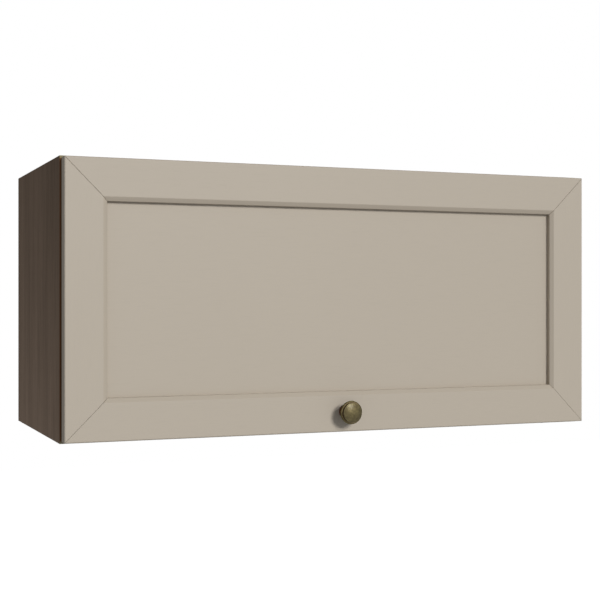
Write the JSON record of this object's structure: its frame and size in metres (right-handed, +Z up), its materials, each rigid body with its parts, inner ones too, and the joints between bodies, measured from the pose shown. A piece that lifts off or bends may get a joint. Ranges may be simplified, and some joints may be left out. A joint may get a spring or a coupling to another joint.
{
  "type": "lift up wall cabinet",
  "caption": "Wall cabinet with a framed front flap that swings up on cup hinges, pushed open by gas struts, and hangs from adjustable hooks.",
  "frame": {"origin": "on the wall plane, which is the plane of the cabinet's rear edges, in the middle of its width and of its height", "axes": "+X to the right as seen from the front, +Y towards the wall, +Z up"},
  "size_m": [0.8, 0.3835, 0.378],
  "materials": {
    "carcass_laminate": "matt dark oak laminate with fine grain",
    "back_laminate": "matt printed fibreboard",
    "edge_band": "matt dark edge band",
    "front_paint": "satin warm grey beige foil with faint pores",
    "bare_beech": "plain beech",
    "antique_brass": "mottled antique, satin",
    "nickelled_steel": "satin nickel",
    "rod_steel": "polished",
    "tube_paint": "satin light grey",
    "grey_plastic": "moulded, matt",
    "clear_rubber": "soft clear"
  },
  "bodies": {
    "carcass": {"side_panel_left": "carcass_laminate", "side_panel_right": "carcass_laminate", "top_panel": "carcass_laminate", "bottom_panel": "carcass_laminate", "back_panel": "back_laminate", "edge_band_side_left": "edge_band", "edge_band_side_right": "edge_band", "edge_band_top": "edge_band", "edge_band_bottom": "edge_band", "dowel_top_left_front": "bare_beech", "dowel_top_left_rear": "bare_beech", "dowel_top_right_front": "bare_beech", "dowel_top_right_rear": "bare_beech", "dowel_bottom_left_front": "bare_beech", "dowel_bottom_left_rear": "bare_beech", "dowel_bottom_right_front": "bare_beech", "dowel_bottom_right_rear": "bare_beech", "hanger_housing_left": "grey_plastic", "hanger_housing_right": "grey_plastic", "hanger_hook_left": "nickelled_steel", "hanger_hook_right": "nickelled_steel", "hanger_screw_left": "nickelled_steel", "hanger_screw_right": "nickelled_steel", "hinge_plate_left": "nickelled_steel", "hinge_plate_right": "nickelled_steel", "hinge_arm_left": "nickelled_steel", "hinge_arm_right": "nickelled_steel", "strut_plate_left": "nickelled_steel", "strut_plate_right": "nickelled_steel"},
    "flap": {"frame_rail_top": "front_paint", "frame_rail_bottom": "front_paint", "frame_stile_left": "front_paint", "frame_stile_right": "front_paint", "door_panel": "front_paint", "corner_spline_top_left": "bare_beech", "corner_spline_top_right": "bare_beech", "corner_spline_bottom_left": "bare_beech", "corner_spline_bottom_right": "bare_beech", "knob": "antique_brass", "knob_screw": "nickelled_steel", "bumper_left": "clear_rubber", "bumper_right": "clear_rubber", "hinge_cup_left": "nickelled_steel", "hinge_cup_right": "nickelled_steel", "hinge_pin_left": "nickelled_steel", "hinge_pin_right": "nickelled_steel", "strut_bracket_left": "nickelled_steel", "strut_bracket_right": "nickelled_steel", "ball_stud_upper_left": "nickelled_steel", "ball_stud_upper_right": "nickelled_steel"},
    "cylinder_left": {"strut_tube_left": "tube_paint", "strut_socket_upper_left": "grey_plastic"},
    "cylinder_right": {"strut_tube_right": "tube_paint", "strut_socket_upper_right": "grey_plastic"},
    "piston_left": {"strut_rod_left": "rod_steel", "strut_socket_lower_left": "grey_plastic", "ball_stud_lower_left": "nickelled_steel"},
    "piston_right": {"strut_rod_right": "rod_steel", "strut_socket_lower_right": "grey_plastic", "ball_stud_lower_right": "nickelled_steel"}
  },
  "joints": [
    {"name": "flap_lift", "type": "hinge", "parent": "carcass", "child": "flap", "pos_m": [0, -0.3465, 0.1795], "axis": [-1, 0, 0], "range_deg": [0, 90]},
    {"name": "strut_swing_left", "type": "hinge", "parent": "flap", "child": "cylinder_left", "pos_m": [-0.371, -0.3245, 0.1175], "axis": [1, 0, 0], "range_deg": [0, 107.2]},
    {"name": "strut_swing_right", "type": "hinge", "parent": "flap", "child": "cylinder_right", "pos_m": [0.371, -0.3245, 0.1175], "axis": [1, 0, 0], "range_deg": [0, 107.2]},
    {"name": "rod_slide_left", "type": "slide", "parent": "cylinder_left", "child": "piston_left", "axis": [0, 0.3376, -0.9413], "range_m": [0, 0.076]},
    {"name": "rod_slide_right", "type": "slide", "parent": "cylinder_right", "child": "piston_right", "axis": [0, 0.3376, -0.9413], "range_m": [0, 0.076]}
  ],
  "couplings": [
    {"joint": "strut_swing_left", "follows": "flap_lift", "ratio": 1.1904},
    {"joint": "strut_swing_right", "follows": "flap_lift", "ratio": 1.1904},
    {"joint": "rod_slide_left", "follows": "flap_lift", "m_per_rad": 0.048314},
    {"joint": "rod_slide_right", "follows": "flap_lift", "m_per_rad": 0.048314}
  ]
}
